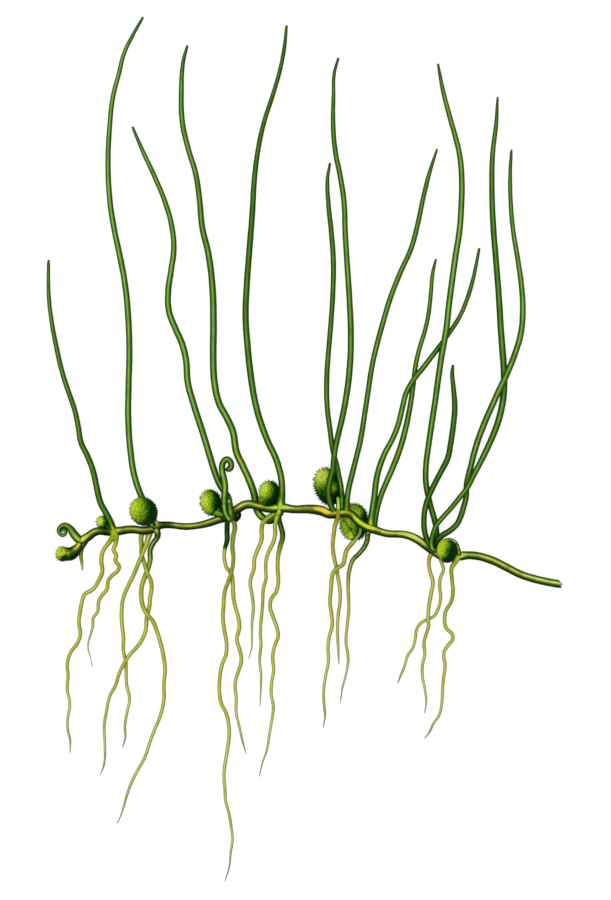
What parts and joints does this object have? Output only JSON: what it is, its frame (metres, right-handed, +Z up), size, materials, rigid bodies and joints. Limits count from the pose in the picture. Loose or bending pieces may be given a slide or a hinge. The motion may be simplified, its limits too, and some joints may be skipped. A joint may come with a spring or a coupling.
{
  "type": "pillwort",
  "caption": "Whole pillwort plant with a creeping rhizome, thread-like leaves, coiled young leaves, round hairy sporocarps and long thin roots, laid flat.",
  "frame": {"origin": "centre of the bounding box at the surface that the plant lies on", "axes": "+Z up from the surface, +Y from the root tips towards the leaf tips, +X towards the torn end of the rhizome"},
  "size_m": [0.0618, 0.1037, 0.0046],
  "materials": {
    "leaf": "fresh green leaf, slightly waxy",
    "young_leaf": "young green leaf, slightly waxy",
    "rhizome": "olive-yellow stem, smooth",
    "sporocarp": "green pill with short dark hairs",
    "root": "olive-yellow root, smooth"
  },
  "bodies": {
    "root": {"rhizome": "rhizome", "leaf_1": "leaf", "leaf_2": "leaf", "leaf_3": "leaf", "leaf_4": "leaf", "leaf_5": "leaf", "leaf_6": "leaf", "leaf_7": "leaf", "leaf_8": "leaf", "leaf_9": "leaf", "leaf_10": "leaf", "leaf_11": "leaf", "leaf_12": "leaf", "leaf_13": "leaf", "leaf_14": "leaf", "crozier_1": "young_leaf", "crozier_2": "young_leaf", "sporocarp_1": "sporocarp", "sporocarp_2": "sporocarp", "sporocarp_3": "sporocarp", "sporocarp_4": "sporocarp", "sporocarp_5": "sporocarp", "sporocarp_6": "sporocarp", "sporocarp_7": "sporocarp", "sporocarp_8": "sporocarp", "root_1": "root", "root_2": "root", "root_3": "root", "root_4": "root", "root_5": "root", "root_6": "root", "root_7": "root", "root_8": "root", "root_9": "root", "root_10": "root", "root_11": "root", "root_12": "root", "root_13": "root", "root_14": "root", "root_15": "root", "root_16": "root", "root_17": "root"}
  },
  "joints": []
}
